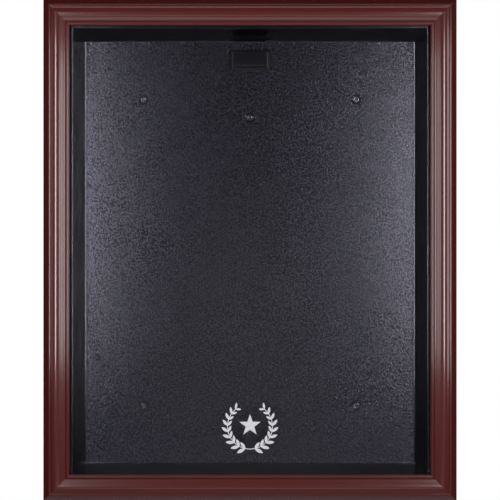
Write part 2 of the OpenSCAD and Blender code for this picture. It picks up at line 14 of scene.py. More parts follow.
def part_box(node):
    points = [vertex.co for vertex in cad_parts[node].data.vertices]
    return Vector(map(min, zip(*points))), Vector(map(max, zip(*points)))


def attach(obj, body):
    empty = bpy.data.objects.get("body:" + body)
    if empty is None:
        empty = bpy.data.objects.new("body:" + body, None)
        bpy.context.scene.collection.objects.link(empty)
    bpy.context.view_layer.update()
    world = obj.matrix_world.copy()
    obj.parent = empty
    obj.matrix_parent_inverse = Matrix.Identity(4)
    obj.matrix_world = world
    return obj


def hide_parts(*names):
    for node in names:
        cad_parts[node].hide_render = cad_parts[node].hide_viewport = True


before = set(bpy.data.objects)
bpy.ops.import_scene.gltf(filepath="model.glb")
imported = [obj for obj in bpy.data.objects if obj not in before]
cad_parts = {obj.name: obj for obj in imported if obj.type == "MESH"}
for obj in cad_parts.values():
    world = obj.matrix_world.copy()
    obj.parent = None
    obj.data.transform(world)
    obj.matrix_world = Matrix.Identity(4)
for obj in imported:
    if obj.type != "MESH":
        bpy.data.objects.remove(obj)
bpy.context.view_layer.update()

# ------------------------------------------------------------------ back tray
# One sheet of 3 mm black ABS, vacuum formed: a flange, four leaning walls and a flat panel with five
# dished screw seats. The sheet's haircell grain stays on the panel and is stretched smooth on the walls.

MM = 0.001


class Wire:
    """A value flowing between shader nodes; arithmetic on it adds Math nodes to the same finish."""

    def __init__(self, finish, socket):
        self.finish = finish
        self.socket = socket

    def math(self, operation, *values):
        return self.finish.add("ShaderNodeMath", {"operation": operation}, dict(enumerate(values)))

    def __add__(self, other):
        return self.math("ADD", self, other)

    def __sub__(self, other):
        return self.math("SUBTRACT", self, other)

    def __rsub__(self, other):
        return self.math("SUBTRACT", other, self)

    def __mul__(self, other):
        return self.math("MULTIPLY", self, other)

    def __lt__(self, other):
        return self.math("LESS_THAN", self, other)

    def __gt__(self, other):
        return self.math("GREATER_THAN", self, other)

    def __abs__(self):
        return self.math("ABSOLUTE", self)

    __radd__ = __add__
    __rmul__ = __mul__


class Finish:
    """A material, or the studio's surround, in the making. Every node comes into it through add()."""

    def __init__(self, name, surround=None):
        self.made = surround or bpy.data.materials.new(name)
        self.made.use_nodes = True
        self.tree = self.made.node_tree
        self.tree.nodes.clear()

    def add(self, kind, settings=None, sockets=None, out=0):
        node = self.tree.nodes.new(kind)
        for name, value in (settings or {}).items():
            if name == "stops":
                for stop, (position, grey) in zip(node.color_ramp.elements, value):
                    stop.position = position
                    stop.color = (grey, grey, grey, 1)
            else:
                setattr(node, name, value)
        for name, value in (sockets or {}).items():
            if isinstance(value, Wire):
                self.tree.links.new(value.socket, node.inputs[name])
            else:
                node.inputs[name].default_value = value
        return Wire(self, node.outputs[out]) if len(node.outputs) else None

    def place(self, stretch=(1, 1, 1)):
        """Where a point of the piece is, in the case's own frame, each axis multiplied by its stretch."""
        point = self.add("ShaderNodeTexCoord", out="Object")
        return self.add("ShaderNodeVectorMath", {"operation": "MULTIPLY"}, {0: point, 1: stretch})

    def blend(self, share, first, second):
        """Colour that goes from first to second as share goes from 0 to 1."""
        return self.add("ShaderNodeMix", {"data_type": "RGBA"}, {0: share, 6: first, 7: second}, out=2)

    def close(self, shader):
        """Wires the last shader to the surface and hands over the material."""
        self.add("ShaderNodeOutputMaterial", {}, {"Surface": shader})
        return self.made


def shade(mesh, finish, sharp):
    """Gives a mesh its one finish and smooth shading, except across edges sharper than the angle."""
    mesh.materials.clear()
    mesh.materials.append(finish)
    mesh.shade_smooth()
    mesh.set_sharp_from_angle(angle=math.radians(sharp))


def make_piece(name, bm, finish, sharp=32):
    """The finished mesh as a piece of the scene."""
    bmesh.ops.recalc_face_normals(bm, faces=bm.faces)
    mesh = bpy.data.meshes.new(name)
    bm.to_mesh(mesh)
    bm.free()
    shade(mesh, finish, sharp)
    piece = bpy.data.objects.new(name, mesh)
    bpy.context.scene.collection.objects.link(piece)
    return piece


def soften(path, radii, steps=6, closed=False):
    """A path of flat points with its corners turned into arcs; radii is one number or one for each corner."""
    path = [Vector(p) for p in path]
    count = len(path)
    corners = range(count) if closed else range(1, count - 1)
    if isinstance(radii, (int, float)):
        radii = [radii] * len(corners)
    eased = [] if closed else [path[0]]
    for index, radius in zip(corners, radii):
        corner = path[index]
        back = (path[index - 1] - corner).normalized()
        ahead = (path[(index + 1) % count] - corner).normalized()
        half = back.angle(ahead) / 2
        if radius == 0 or half > math.radians(89):
            eased.append(corner)
            continue
        start = corner + back * radius / math.tan(half)
        centre = corner + (back + ahead).normalized() * radius / math.sin(half)
        turn = back.angle_signed(ahead)
        sweep = math.copysign(math.pi - abs(turn), turn)
        for step in range(steps + 1):
            arm = (start - centre).copy()
            arm.rotate(Matrix.Rotation(sweep * step / steps, 2))
            eased.append(centre + arm)
    return eased if closed else eased + [path[-1]]


def box_ring(bm, half_w, half_h, mid_z, y, corner, steps=5):
    """Ring of points round an upright rectangle with rounded corners."""
    ring = []
    for quarter, (sx, sz) in enumerate(((1, 1), (-1, 1), (-1, -1), (1, -1))):
        for step in range(steps + 1):
            angle = math.radians(90 * quarter + 90 * step / steps)
            x = sx * (half_w - corner) + corner * math.cos(angle)
            z = sz * (half_h - corner) + corner * math.sin(angle)
            ring.append(bm.verts.new((x, y, mid_z + z)))
    return ring


def round_ring(bm, centre, radius, y, steps=40):
    """Ring of points round a centre (x, z)."""
    ring = []
    for step in range(steps):
        angle = 2 * math.pi * step / steps
        x, z = centre[0] + radius * math.cos(angle), centre[1] + radius * math.sin(angle)
        ring.append(bm.verts.new((x, y, z)))
    return ring


def bridge(bm, rings):
    """Skins a row of equal rings."""
    for near, far in zip(rings, rings[1:]):
        for k in range(len(near)):
            after = (k + 1) % len(near)
            bm.faces.new((near[k], near[after], far[after], far[k]))


def plate(bm, rings):
    """Fills the flat between an outer ring and the holes in it."""
    edges = []
    for ring in rings:
        for k, vert in enumerate(ring):
            pair = (vert, ring[k - 1])
            edges.append(bm.edges.get(pair) or bm.edges.new(pair))
    bmesh.ops.triangle_fill(bm, edges=edges, use_beauty=True, use_dissolve=False)


def welded(node):
    """A CAD node's mesh with its seams closed."""
    bm = bmesh.new()
    bm.from_mesh(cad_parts[node].data)
    bmesh.ops.remove_doubles(bm, verts=bm.verts, dist=0.001 * MM)
    return bm


def solids_of(node):
    """The (lowest, highest) corners of each separate solid in a CAD node."""
    bm = welded(node)
    left, boxes = set(bm.verts), []
    while left:
        edge_of_patch, solid = [left.pop()], []
        while edge_of_patch:
            vert = edge_of_patch.pop()
            solid.append(vert.co.copy())
            for edge in vert.link_edges:
                other = edge.other_vert(vert)
                if other in left:
                    left.remove(other)
                    edge_of_patch.append(other)
        low = Vector(min(p[k] for p in solid) for k in range(3))
        high = Vector(max(p[k] for p in solid) for k in range(3))
        boxes.append((low, high))
    bm.free()
    return sorted(boxes, key=lambda box: (round(box[0].z, 5), round(box[0].x, 5)))


def flat_middle(box):
    """Middle of a box as seen from the front, (x, z)."""
    low, high = box
    return ((low.x + high.x) / 2, (low.z + high.z) / 2)


tray_low, tray_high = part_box("back_tray")
sheet = 3 * MM
flange_front = tray_low.y
flange_rear = flange_front + sheet
flange_mid = (tray_low.z + tray_high.z) / 2
panel_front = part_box("rod_bracket")[1].y
panel_rear = panel_front + sheet
sight_half_w = -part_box("door_rail_left")[1].x
sight_half_h = (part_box("door_rail_top")[0].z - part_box("door_rail_bottom")[1].z) / 2
flange_show = 5 * MM
mouth_half_w = sight_half_w - flange_show
mouth_half_h = sight_half_h + 1 * MM
wall_lean = 23.5 * MM
lean = wall_lean / (panel_front - flange_front)
wall_level = sheet * math.sqrt(1 + lean * lean)

bm = bmesh.new()


def tray_rings(path):
    """One ring for each (inset from the mouth, y); the corners tighten from the mouth to the panel."""
    rings = []
    for inset, y in path:
        corner = (6 - 3 * min(max(inset / wall_lean, 0), 1)) * MM
        rings.append(box_ring(bm, mouth_half_w - inset, mouth_half_h - inset, 0, y, corner))
    return rings


front_skin = tray_rings(soften(
    [(-8 * MM, flange_front), (0, flange_front), (wall_lean, panel_front), (wall_lean + 8 * MM, panel_front)],
    [2 * MM, 6.5 * MM], steps=12))
outside_run = lean * sheet
rear_skin = tray_rings(soften(
    [(-10 * MM, flange_rear), (outside_run - wall_level, flange_rear),
     (wall_lean - wall_level + outside_run, panel_rear), (wall_lean + 10 * MM, panel_rear)],
    [1.5 * MM, 4 * MM]))
bridge(bm, front_skin)
bridge(bm, rear_skin)

edge_rings = []
for inset, y in soften([(2 * MM, flange_front), (0, flange_front), (0, flange_rear), (2 * MM, flange_rear)],
                       0.5 * MM, steps=3):
    half_w = (tray_high.x - tray_low.x) / 2 - inset
    half_h = (tray_high.z - tray_low.z) / 2 - inset
    edge_rings.append(box_ring(bm, half_w, half_h, flange_mid, y, 3 * MM))
bridge(bm, edge_rings)


def sheet_holes(boxes, radius, front_y, rear_y):
    """Plain drilled holes; the rings on the front and on the rear of the sheet."""
    pairs = [[round_ring(bm, flat_middle(box), radius, y, 24) for y in (front_y, rear_y)] for box in boxes]
    for pair in pairs:
        bridge(bm, pair)
    return [pair[0] for pair in pairs], [pair[1] for pair in pairs]


flange_screw_boxes = solids_of("flange_screws")
cup_boxes = [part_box("magnet_cup_upper"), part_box("magnet_cup_lower")]
flange_hole_r, cup_hole_r, bracket_hole_r = 1.8 * MM, 5.05 * MM, 1.55 * MM
screw_fronts, screw_rears = sheet_holes(flange_screw_boxes, flange_hole_r, flange_front, flange_rear)
cup_fronts, cup_rears = sheet_holes(cup_boxes, cup_hole_r, flange_front, flange_rear)
plate(bm, [edge_rings[0], front_skin[0], *screw_fronts, *cup_fronts])
plate(bm, [edge_rings[-1], rear_skin[0], *screw_rears, *cup_rears])

eyelets = ["eyelet_" + place for place in ("top_left", "top_right", "bottom_left", "bottom_right", "middle")]
seat_floor = panel_rear + 1 * MM
seat_bore = 4.05 * MM
seat_path = soften(
    [(14 * MM, panel_front), (11 * MM, panel_front), (8 * MM, seat_floor), (seat_bore, seat_floor),
     (seat_bore, 0), (10 * MM, 0), (12.2 * MM, panel_rear), (14.5 * MM, panel_rear)],
    [2.6 * MM, 1.5 * MM, 0, 0, 0.8 * MM, 0.8 * MM], steps=6)
seat_fronts, seat_rears = [], []
for name in eyelets:
    middle = flat_middle(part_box(name))
    seat = [round_ring(bm, middle, radius, y, 56) for radius, y in seat_path]
    bridge(bm, seat)
    seat_fronts.append(seat[0])
    seat_rears.append(seat[-1])
bracket_screw_boxes = solids_of("bracket_screws")
bracket_fronts, bracket_rears = sheet_holes(bracket_screw_boxes, bracket_hole_r, panel_front, panel_rear)
plate(bm, [front_skin[-1], *seat_fronts, *bracket_fronts])
plate(bm, [rear_skin[-1], *seat_rears, *bracket_rears])


def tray_finish():
    """Black ABS: pebbled haircell grain on the flat panel with painted highlights on its peaks and painted
    shade in its valleys, glossy where the walls were drawn out.
    """
    abs_sheet = Finish("tray_black")
    point = abs_sheet.place()
    depth = abs_sheet.add("ShaderNodeSeparateXYZ", {}, {0: point}, out="Y")
    grained = abs(depth - panel_front) < 0.25 * MM
    wander = abs_sheet.add("ShaderNodeTexNoise", {}, {"Vector": point, "Scale": 275, "Detail": 1,
                                                      "Roughness": 0.5, "Distortion": 0.6})
    drift = abs_sheet.add("ShaderNodeTexNoise", {}, {"Vector": point, "Scale": 9, "Detail": 3})
    bump = abs_sheet.add("ShaderNodeBump", {}, {
        "Strength": 1.0, "Distance": 0.4 * MM, "Height": wander * grained})
    # Painted light and shade: the grain's colour follows its bump height, lighter on the peaks and darker in
    # the valleys.
    lit_peaks = abs_sheet.add("ShaderNodeValToRGB", {"stops": [(0.40, 0), (0.60, 1)]}, {"Fac": wander})
    colour = abs_sheet.blend(lit_peaks * grained, (0.0012, 0.0012, 0.0018, 1), (0.018, 0.0172, 0.0225, 1))
    roughness = 0.17 + drift * 0.05
    shader = abs_sheet.add("ShaderNodeBsdfPrincipled", {}, {
        "Base Color": colour, "Roughness": roughness, "IOR": 1.53, "Specular Tint": (0.90, 0.87, 1, 1),
        "Coat Weight": 1 - grained, "Coat Roughness": 0.1, "Normal": bump})
    return abs_sheet.close(shader)


tray = make_piece("formed_tray", bm, tray_finish())
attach(tray, "case")
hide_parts("back_tray")

# ------------------------------------------------------------------ wall eyelets
# Five rolled eyelets, steel with black nickel, pressed through the dished seats. A wall screw passes
# through each one and clamps on its rim.


def blackened_steel(name, colour, roughness, metallic, coat):
    """Blackened steel, slightly uneven, with a duller bloom in places; coat is the lacquer over it."""
    metal = Finish(name)
    point = metal.place()
    cloud = metal.add("ShaderNodeTexNoise", {}, {"Vector": point, "Scale": 180, "Detail": 4})
    pits = metal.add("ShaderNodeTexNoise", {}, {"Vector": point, "Scale": 2600, "Detail": 2})
    bump = metal.add("ShaderNodeBump", {}, {"Strength": 0.25, "Distance": 0.03 * MM, "Height": pits})
    lighter = tuple(1.6 * c for c in colour[:3]) + (1,)
    shader = metal.add("ShaderNodeBsdfPrincipled", {}, {
        "Base Color": metal.blend(cloud, colour, lighter), "Roughness": roughness + cloud * 0.14,
        "Metallic": metallic, "Coat Weight": coat, "Coat Roughness": 0.08, "Normal": bump})
    return metal.close(shader)


black_nickel = blackened_steel("eyelet_dark", (0.15, 0.15, 0.17, 1), 0.12, 1.0, 0.0)
for name in eyelets:
    low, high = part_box(name)
    bore, barrel, rim = 2.75 * MM, 4 * MM, (high.x - low.x) / 2
    under_rim = low.y + 1 * MM
    path = soften([(bore, high.y), (barrel, high.y), (barrel, under_rim), (rim, under_rim), (rim, low.y),
                   (bore, low.y)], [0.2 * MM, 0.2 * MM, 0.2 * MM, 0.15 * MM, 0.7 * MM, 0.95 * MM],
                  closed=True)
    bm = bmesh.new()
    rings = [round_ring(bm, flat_middle((low, high)), radius, y, 48) for radius, y in path]
    bridge(bm, rings + rings[:1])
    eyelet = make_piece("rolled_" + name, bm, black_nickel)
    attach(eyelet, "case")
    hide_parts(name)

# ------------------------------------------------------------------ rod bracket
# An injection-moulded black hook on a bevelled base. The clear rod that carries the shirt drops behind
# its lip. Two screws from behind the panel hold it.

bracket_low, bracket_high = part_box("rod_bracket")
bracket_mid = (bracket_low.z + bracket_high.z) / 2
base_half_w = (bracket_high.x - bracket_low.x) / 2
base_half_h = (bracket_high.z - bracket_low.z) / 2
base_front = bracket_high.y - 5 * MM
base_bevel = 5.5 * MM
lip_half_w = 36.25 * MM
lip_front = bracket_low.y
lip_rear = lip_front + 3 * MM
hook_bottom = bracket_mid - 17 * MM
lip_top = bracket_mid + 16.5 * MM
lip_round = 8 * MM
gap_r = (base_front - lip_rear) / 2
gap_mid = (lip_rear + base_front) / 2
gap_z = hook_bottom + 5 * MM + gap_r
heel_r = 6 * MM

bm = bmesh.new()
base_rings = []
for inset, y in soften([(0, bracket_high.y), (0.6 * MM, bracket_high.y - 0.6 * MM), (base_bevel, base_front),
                        (base_bevel + 3 * MM, base_front)], [0.3 * MM, 1.1 * MM]):
    base_rings.append(box_ring(bm, base_half_w - inset, base_half_h - inset, bracket_mid, y, 1.5 * MM))
bridge(bm, base_rings)
bm.faces.new(base_rings[0])
bm.faces.new(base_rings[-1])
base_shape = make_piece("bracket_base_shape", bm, None)


def hook_section(top, inset):
    """Side view of the hook as (y, z): floor, heel, lip and the round gap; inset eases its two ends."""
    gap = [(gap_mid - (gap_r + inset) * math.cos(a), gap_z - (gap_r + inset) * math.sin(a))
           for a in (math.pi * k / 16 for k in range(17))]
    crown = [(lip_front + inset, top - inset), (lip_rear - inset, top - inset)]
    heel = [(base_front + 1 * MM, hook_bottom + inset), (lip_front + inset, hook_bottom + inset)]
    outline = soften([heel[0], heel[1], crown[0], crown[1], (lip_rear - inset, gap_z)],
                     [heel_r, 1.7 * MM, 0.9 * MM])
    return outline + gap[1:-1] + [(base_front + 1 * MM, gap_z)]


bm = bmesh.new()
sections = []
straight = lip_half_w - lip_round
corner_steps = 10
for side, steps in ((-1, range(corner_steps, -1, -1)), (1, range(corner_steps + 1))):
    for step in steps:
        angle = math.radians(90 * step / corner_steps)
        x = side * (straight + lip_round * math.sin(angle))
        fall = lip_round * (1 - math.cos(angle))
        inset = 0.5 * MM * max(0, step - 8) / 2
        sections.append([bm.verts.new((x, y, z)) for y, z in hook_section(lip_top - fall, inset)])
bridge(bm, sections)
bm.faces.new(sections[0])
bm.faces.new(sections[-1])
hook_shape = make_piece("bracket_hook_shape", bm, None)


def settle(piece, finish, sharp=32):
    """Makes a piece's modifiers part of its mesh."""
    shown = piece.evaluated_get(bpy.context.evaluated_depsgraph_get())
    mesh = bpy.data.meshes.new_from_object(shown)
    piece.modifiers.clear()
    piece.data = mesh
    shade(mesh, finish, sharp)


def cut_or_join(piece, other, operation):
    """Boolean with another shape, which is then thrown away."""
    modifier = piece.modifiers.new(operation.lower(), "BOOLEAN")
    modifier.operation = operation
    modifier.solver = "EXACT"
    modifier.object = other
    bpy.context.view_layer.update()


moulded = Finish("bracket_black")
spot = moulded.place()
skin = moulded.add("ShaderNodeTexNoise", {}, {"Vector": spot, "Scale": 700, "Detail": 3})
matt_base = base_front - 0.1 * MM < moulded.add("ShaderNodeSeparateXYZ", {}, {0: spot}, out="Y")
moulded_bump = moulded.add("ShaderNodeBump", {}, {"Strength": 0.15, "Distance": 0.03 * MM, "Height": skin})
moulded_black = moulded.close(moulded.add("ShaderNodeBsdfPrincipled", {}, {
    "Base Color": moulded.blend(skin, (0.007, 0.007, 0.009, 1), (0.013, 0.013, 0.015, 1)),
    "Roughness": 0.11 + skin * 0.05 + matt_base * 0.2, "IOR": 1.5, "Normal": moulded_bump}))

cut_or_join(base_shape, hook_shape, "UNION")
settle(base_shape, moulded_black)
bpy.data.objects.remove(hook_shape)
rod_bracket = base_shape
rod_bracket.name = "moulded_rod_bracket"
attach(rod_bracket, "case")
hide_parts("rod_bracket")

# ------------------------------------------------------------------ case battens
# Four lengths of square-edged softwood stained black, butted at the corners and screwed from the sides.
# They stand on the wall and carry the tray's flange.


def stained_timber(name, along):
    """Black stain on softwood: faint grain along the batten, thin where the saw left fibres standing."""
    wood = Finish(name)
    stretch = [1, 1, 1]
    stretch[along] = 0.05
    grain = wood.add("ShaderNodeTexNoise", {}, {"Vector": wood.place(stretch), "Scale": 420, "Detail": 5,
                                                "Roughness": 0.65, "Distortion": 0.3})
    figure = wood.add("ShaderNodeTexNoise", {}, {"Vector": wood.place(stretch), "Scale": 60, "Detail": 2})
    bump = wood.add("ShaderNodeBump", {}, {"Strength": 0.6, "Distance": 0.12 * MM, "Height": grain})
    colour = wood.blend(grain * 0.6 + figure * 0.4, (0.010, 0.009, 0.009, 1), (0.034, 0.029, 0.027, 1))
    shader = wood.add("ShaderNodeBsdfPrincipled", {}, {
        "Base Color": colour, "Roughness": 0.5 + grain * 0.25, "Normal": bump})
    return wood.close(shader)


def dress(node, finish):
    """Gives a CAD node that is shown as it is its finish."""
    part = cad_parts[node]
    part.data.materials.clear()
    part.data.materials.append(finish)


upright_timber = stained_timber("case_black_upright", 2)
cross_timber = stained_timber("case_black_cross", 0)
for node in ("batten_left", "batten_right"):
    dress(node, upright_timber)
for node in ("batten_top", "batten_bottom"):
    dress(node, cross_timber)

# ------------------------------------------------------------------ screws
# Cross-recessed screws: long countersunk ones through the battens, small black pan heads along the tray's
# flange, two pan heads with washers behind the bracket, and countersunk ones in the hinges and strikes.


def plated_steel(name, colour, roughness):
    """Bright zinc plating with the fine, cloudy spangle of the bath."""
    metal = Finish(name)
    point = metal.place()
    cloud = metal.add("ShaderNodeTexNoise", {}, {"Vector": point, "Scale": 320, "Detail": 4})
    bump = metal.add("ShaderNodeBump", {}, {"Strength": 0.2, "Distance": 0.02 * MM, "Height": cloud})
    duller = tuple(0.72 * c for c in colour[:3]) + (1,)
    shader = metal.add("ShaderNodeBsdfPrincipled", {}, {
        "Base Color": metal.blend(cloud, colour, duller), "Metallic": 1.0,
        "Roughness": roughness + cloud * 0.18, "Normal": bump})
    return metal.close(shader)


def cross_screw(bm, box, facing, shank_r, head_h, countersunk):
    """One screw in the space of a CAD screw. facing is the unit vector that its head looks along."""
    low, high = box
    middle, size = (low + high) / 2, high - low
    length = abs(size.dot(facing))
    head_r = max(abs(size.dot(side)) for side in (Vector((1, 0, 0)), Vector((0, 1, 0)), Vector((0, 0, 1)))
                 if abs(side.dot(facing)) < 0.5) / 2
    if countersunk:
        path = [(0.3 * shank_r, -length), (shank_r, -length + 2 * shank_r), (shank_r, -head_h),
                (head_r - 0.1 * MM, -0.1 * MM), (head_r - 0.2 * MM, 0)]
    else:
        dome = [(head_r * math.cos(a), -head_h * (0.75 - 0.75 * math.sin(a)))
                for a in (math.radians(d) for d in (0, 20, 40, 58))]
        path = [(0.3 * shank_r, -length), (shank_r, -length + 2 * shank_r), (shank_r, -head_h),
                (head_r, -head_h), *dome]
        path[-1] = (path[-1][0], 0)
    first = len(bm.verts)
    rings = [round_ring(bm, (0, 0), radius, -height, 28) for radius, height in path]
    bridge(bm, rings)
    bm.faces.new(rings[0])
    arm, web = 0.52 * head_r, 0.13 * head_r
    corners = [(web, arm), (web, web), (arm, web)]
    cross = corners + [(x, -z) for x, z in reversed(corners)]
    cross += [(-x, -z) for x, z in corners] + [(-x, z) for x, z in reversed(corners)]
    slots = []
    for share, drop in ((1, 0), (0.55, 0.6 * head_h + 0.4 * MM)):
        slots.append([bm.verts.new((x * share, drop, z * share)) for x, z in cross])
    bridge(bm, slots)
    bm.faces.new(slots[-1])
    plate(bm, [rings[-1], slots[0]])
    bm.verts.ensure_lookup_table()
    turn = Vector((0, -1, 0)).rotation_difference(facing).to_matrix().to_4x4()
    head = middle + facing * length / 2
    bmesh.ops.transform(bm, matrix=Matrix.Translation(head) @ turn, verts=bm.verts[first:])


FRONT, REAR = Vector((0, -1, 0)), Vector((0, 1, 0))
zinc = plated_steel("zinc_steel", (0.62, 0.63, 0.66, 1), 0.26)
oxide = blackened_steel("black_steel", (0.022, 0.022, 0.024, 1), 0.34, 0.35, 1.0)
screw_kinds = [
    # node, body, shank radius, head height, countersunk, finish, slot, facing
    ("batten_screws", "case", 2.1, 2.4, True, zinc, "zinc_steel", None),
    ("flange_screws", "case", 1.75, 1.5, False, oxide, "black_steel", FRONT),
    ("bracket_screws", "case", 1.5, 1.8, False, zinc, "zinc_steel", REAR),
    ("hinge_case_screws", "case", 1.3, 1.1, True, oxide, "black_steel", Vector((-1, 0, 0))),
    ("hinge_door_screws", "door", 1.3, 1.1, True, oxide, "black_steel", REAR),
    ("strike_screws", "door", 1.3, 1.1, True, zinc, "zinc_steel", REAR),
]
for node, body, shank_r, head_h, countersunk, finish, slot, facing in screw_kinds:
    bm = bmesh.new()
    for low, high in solids_of(node):
        heading = facing or Vector((math.copysign(1, low.x + high.x), 0, 0))
        cross_screw(bm, (low, high), heading, shank_r * MM, head_h * MM, countersunk)
    screws = make_piece("cross_" + node, bm, finish)
    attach(screws, body)
    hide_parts(node)
dress("bracket_washers", zinc)

# ------------------------------------------------------------------ hinges
# Three butt hinges of 1.2 mm steel with a black oxide skin. Their leaves are let in flush on the case's
# side and on the back of the door's left moulding, and a headed pin is held in the case's knuckles.

for place in ("top", "middle", "bottom"):
    dress("hinge_case_leaf_" + place, oxide)
    dress("hinge_door_leaf_" + place, oxide)
    dress("hinge_pin_" + place, oxide)

# ------------------------------------------------------------------ magnetic catches
# Two zinc-plated cups pressed into the right batten, each with a ferrite magnet, and two strike discs
# screwed to the door. Four clear rubber dots take the door's knock.

ferrite = Finish("magnet_grey")
crystals = ferrite.add("ShaderNodeTexNoise", {}, {"Vector": ferrite.place(), "Scale": 1500, "Detail": 3})
ferrite_bump = ferrite.add("ShaderNodeBump", {}, {"Strength": 0.5, "Distance": 0.04 * MM, "Height": crystals})
ferrite_grey = ferrite.close(ferrite.add("ShaderNodeBsdfPrincipled", {}, {
    "Base Color": ferrite.blend(crystals, (0.035, 0.035, 0.038, 1), (0.085, 0.085, 0.088, 1)),
    "Roughness": 0.45 + crystals * 0.3, "Normal": ferrite_bump}))
for place in ("upper", "lower"):
    dress("magnet_cup_" + place, zinc)
    dress("magnet_" + place, ferrite_grey)
    dress("strike_plate_" + place, zinc)

rubber = Finish("bumper_rubber")
haze = rubber.add("ShaderNodeTexNoise", {}, {"Vector": rubber.place(), "Scale": 500, "Detail": 3})
rubber_bump = rubber.add("ShaderNodeBump", {}, {"Strength": 0.2, "Distance": 0.03 * MM, "Height": haze})
clear_rubber = rubber.close(rubber.add("ShaderNodeBsdfPrincipled", {}, {
    "Base Color": rubber.blend(haze, (0.42, 0.42, 0.43, 1), (0.60, 0.60, 0.61, 1)),
    "Roughness": 0.3 + haze * 0.15, "Normal": rubber_bump}))
bm = bmesh.new()
for low, high in solids_of("door_bumpers"):
    dot_r, back = (high.x - low.x) / 2, low.y
    dome = [(dot_r, back), (dot_r, back + 0.4 * MM)]
    dome += [(dot_r * math.cos(a), back + 0.4 * MM + (high.y - back - 0.4 * MM) * math.sin(a))
             for a in (math.radians(d) for d in (15, 30, 45, 60, 74, 84))]
    rings = [round_ring(bm, flat_middle((low, high)), radius, y, 32) for radius, y in dome]
    bridge(bm, rings)
    bm.faces.new(rings[0])
    bm.faces.new(rings[-1])
bumpers = make_piece("rubber_dots", bm, clear_rubber)
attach(bumpers, "door")
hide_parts("door_bumpers")

# ------------------------------------------------------------------ door moulding
# Four lengths of machined hardwood, stained deep mahogany and lacquered to a satin, mitred and pinned
# from the back: a sloping shoulder, a fine groove, a broad crown that runs down to a fillet, and a bead.


def mahogany(name, along):
    """Dark red-brown stain: slow figure and fine fibre along the moulding, open pores, satin lacquer."""
    wood = Finish(name)
    stretch = [1, 1, 1]
    stretch[along] = 0.03
    run = wood.place(stretch)
    figure = wood.add("ShaderNodeTexNoise", {}, {"Vector": run, "Scale": 46, "Detail": 4, "Distortion": 0.6})
    fibre = wood.add("ShaderNodeTexNoise", {}, {
        "Vector": run, "Scale": 520, "Detail": 5, "Roughness": 0.6})
    stretch[along] = 0.12
    pore = wood.add("ShaderNodeTexNoise", {}, {"Vector": wood.place(stretch), "Scale": 1300, "Detail": 2})
    pores = wood.add("ShaderNodeValToRGB", {"stops": [(0.60, 0), (0.70, 1)]}, {"Fac": pore})
    tone = figure * 0.55 + fibre * 0.45
    stain = wood.blend(tone, (0.043, 0.0052, 0.0048, 1), (0.098, 0.0145, 0.013, 1))
    colour = wood.blend(pores * 0.35, stain, (0.012, 0.003, 0.003, 1))
    height = fibre * 0.7 - pores * 0.5
    bump = wood.add("ShaderNodeBump", {}, {"Strength": 0.5, "Distance": 0.05 * MM, "Height": height})
    shader = wood.add("ShaderNodeBsdfPrincipled", {}, {
        "Base Color": colour, "Roughness": 0.34 + fibre * 0.10, "Specular IOR Level": 0.1, "Coat Weight": 0.75,
        "Coat Roughness": 0.12, "IOR": 1.5, "Normal": bump})
    return wood.close(shader)


left_low, left_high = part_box("door_rail_left")
top_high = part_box("door_rail_top")[1]
bottom_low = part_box("door_rail_bottom")[0]
right_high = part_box("door_rail_right")[1]
door_back = left_high.y
door_mid = (left_low.z + left_high.z) / 2
mitre_gap = 0.05 * MM


def arc(u, t, radius, tilt_from, tilt_to, steps):
    """Points of an arc whose surface leans from one tilt to the other, negative to the outer edge."""
    tilts = [math.radians(tilt_from + (tilt_to - tilt_from) * k / steps) for k in range(steps + 1)]
    return [(u + radius * math.sin(a), t + radius * math.cos(a)) for a in tilts]


def moulding_outline():
    """Section of the moulding in millimetres: u from the outer edge inwards, t from the back forwards."""
    outer = soften([(3, 0), (0, 0), (0, 5), (10, 16.66)], [0.6, 0.8], steps=4)[1:-1]
    shoulder = arc(14.6, 12.8, 6, -50, 10, 14)
    groove = arc(16.4, 18.8, 1.2, 250, 120, 10)
    crown = arc(29, -2.5, 25, -28, 20, 26)
    run_end = crown[-1][1] - (45.2 - crown[-1][0]) * math.tan(math.radians(20))
    bead = arc(52, 14.1, 4.5, -75, 90, 24)
    rebate = [(56.5, 9), (46, 9), (46, 0)]
    return outer + shoulder + groove + crown + [(45.2, run_end), (46.6, run_end)] + bead + rebate


def rail_shape(name, length, to_frame):
    """A mitred length of the moulding. to_frame turns (along, u, y) into a place in the case."""
    bm = bmesh.new()
    rings = []
    for end in (-1, 1):
        ring = []
        for u, t in moulding_outline():
            along = end * (length / 2 - u * MM - mitre_gap)
            ring.append(bm.verts.new(to_frame(along, u * MM, door_back - t * MM)))
        rings.append(ring)
    bridge(bm, rings)
    for ring in rings:
        bm.faces.new(ring)
    return make_piece(name, bm, None)


def pockets(name, nodes):
    """The joined shape of CAD nodes that are let into a moulding."""
    bm = bmesh.new()
    for node in nodes:
        bm.from_mesh(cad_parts[node].data)
    bmesh.ops.remove_doubles(bm, verts=bm.verts, dist=0.001 * MM)
    return make_piece(name, bm, None)


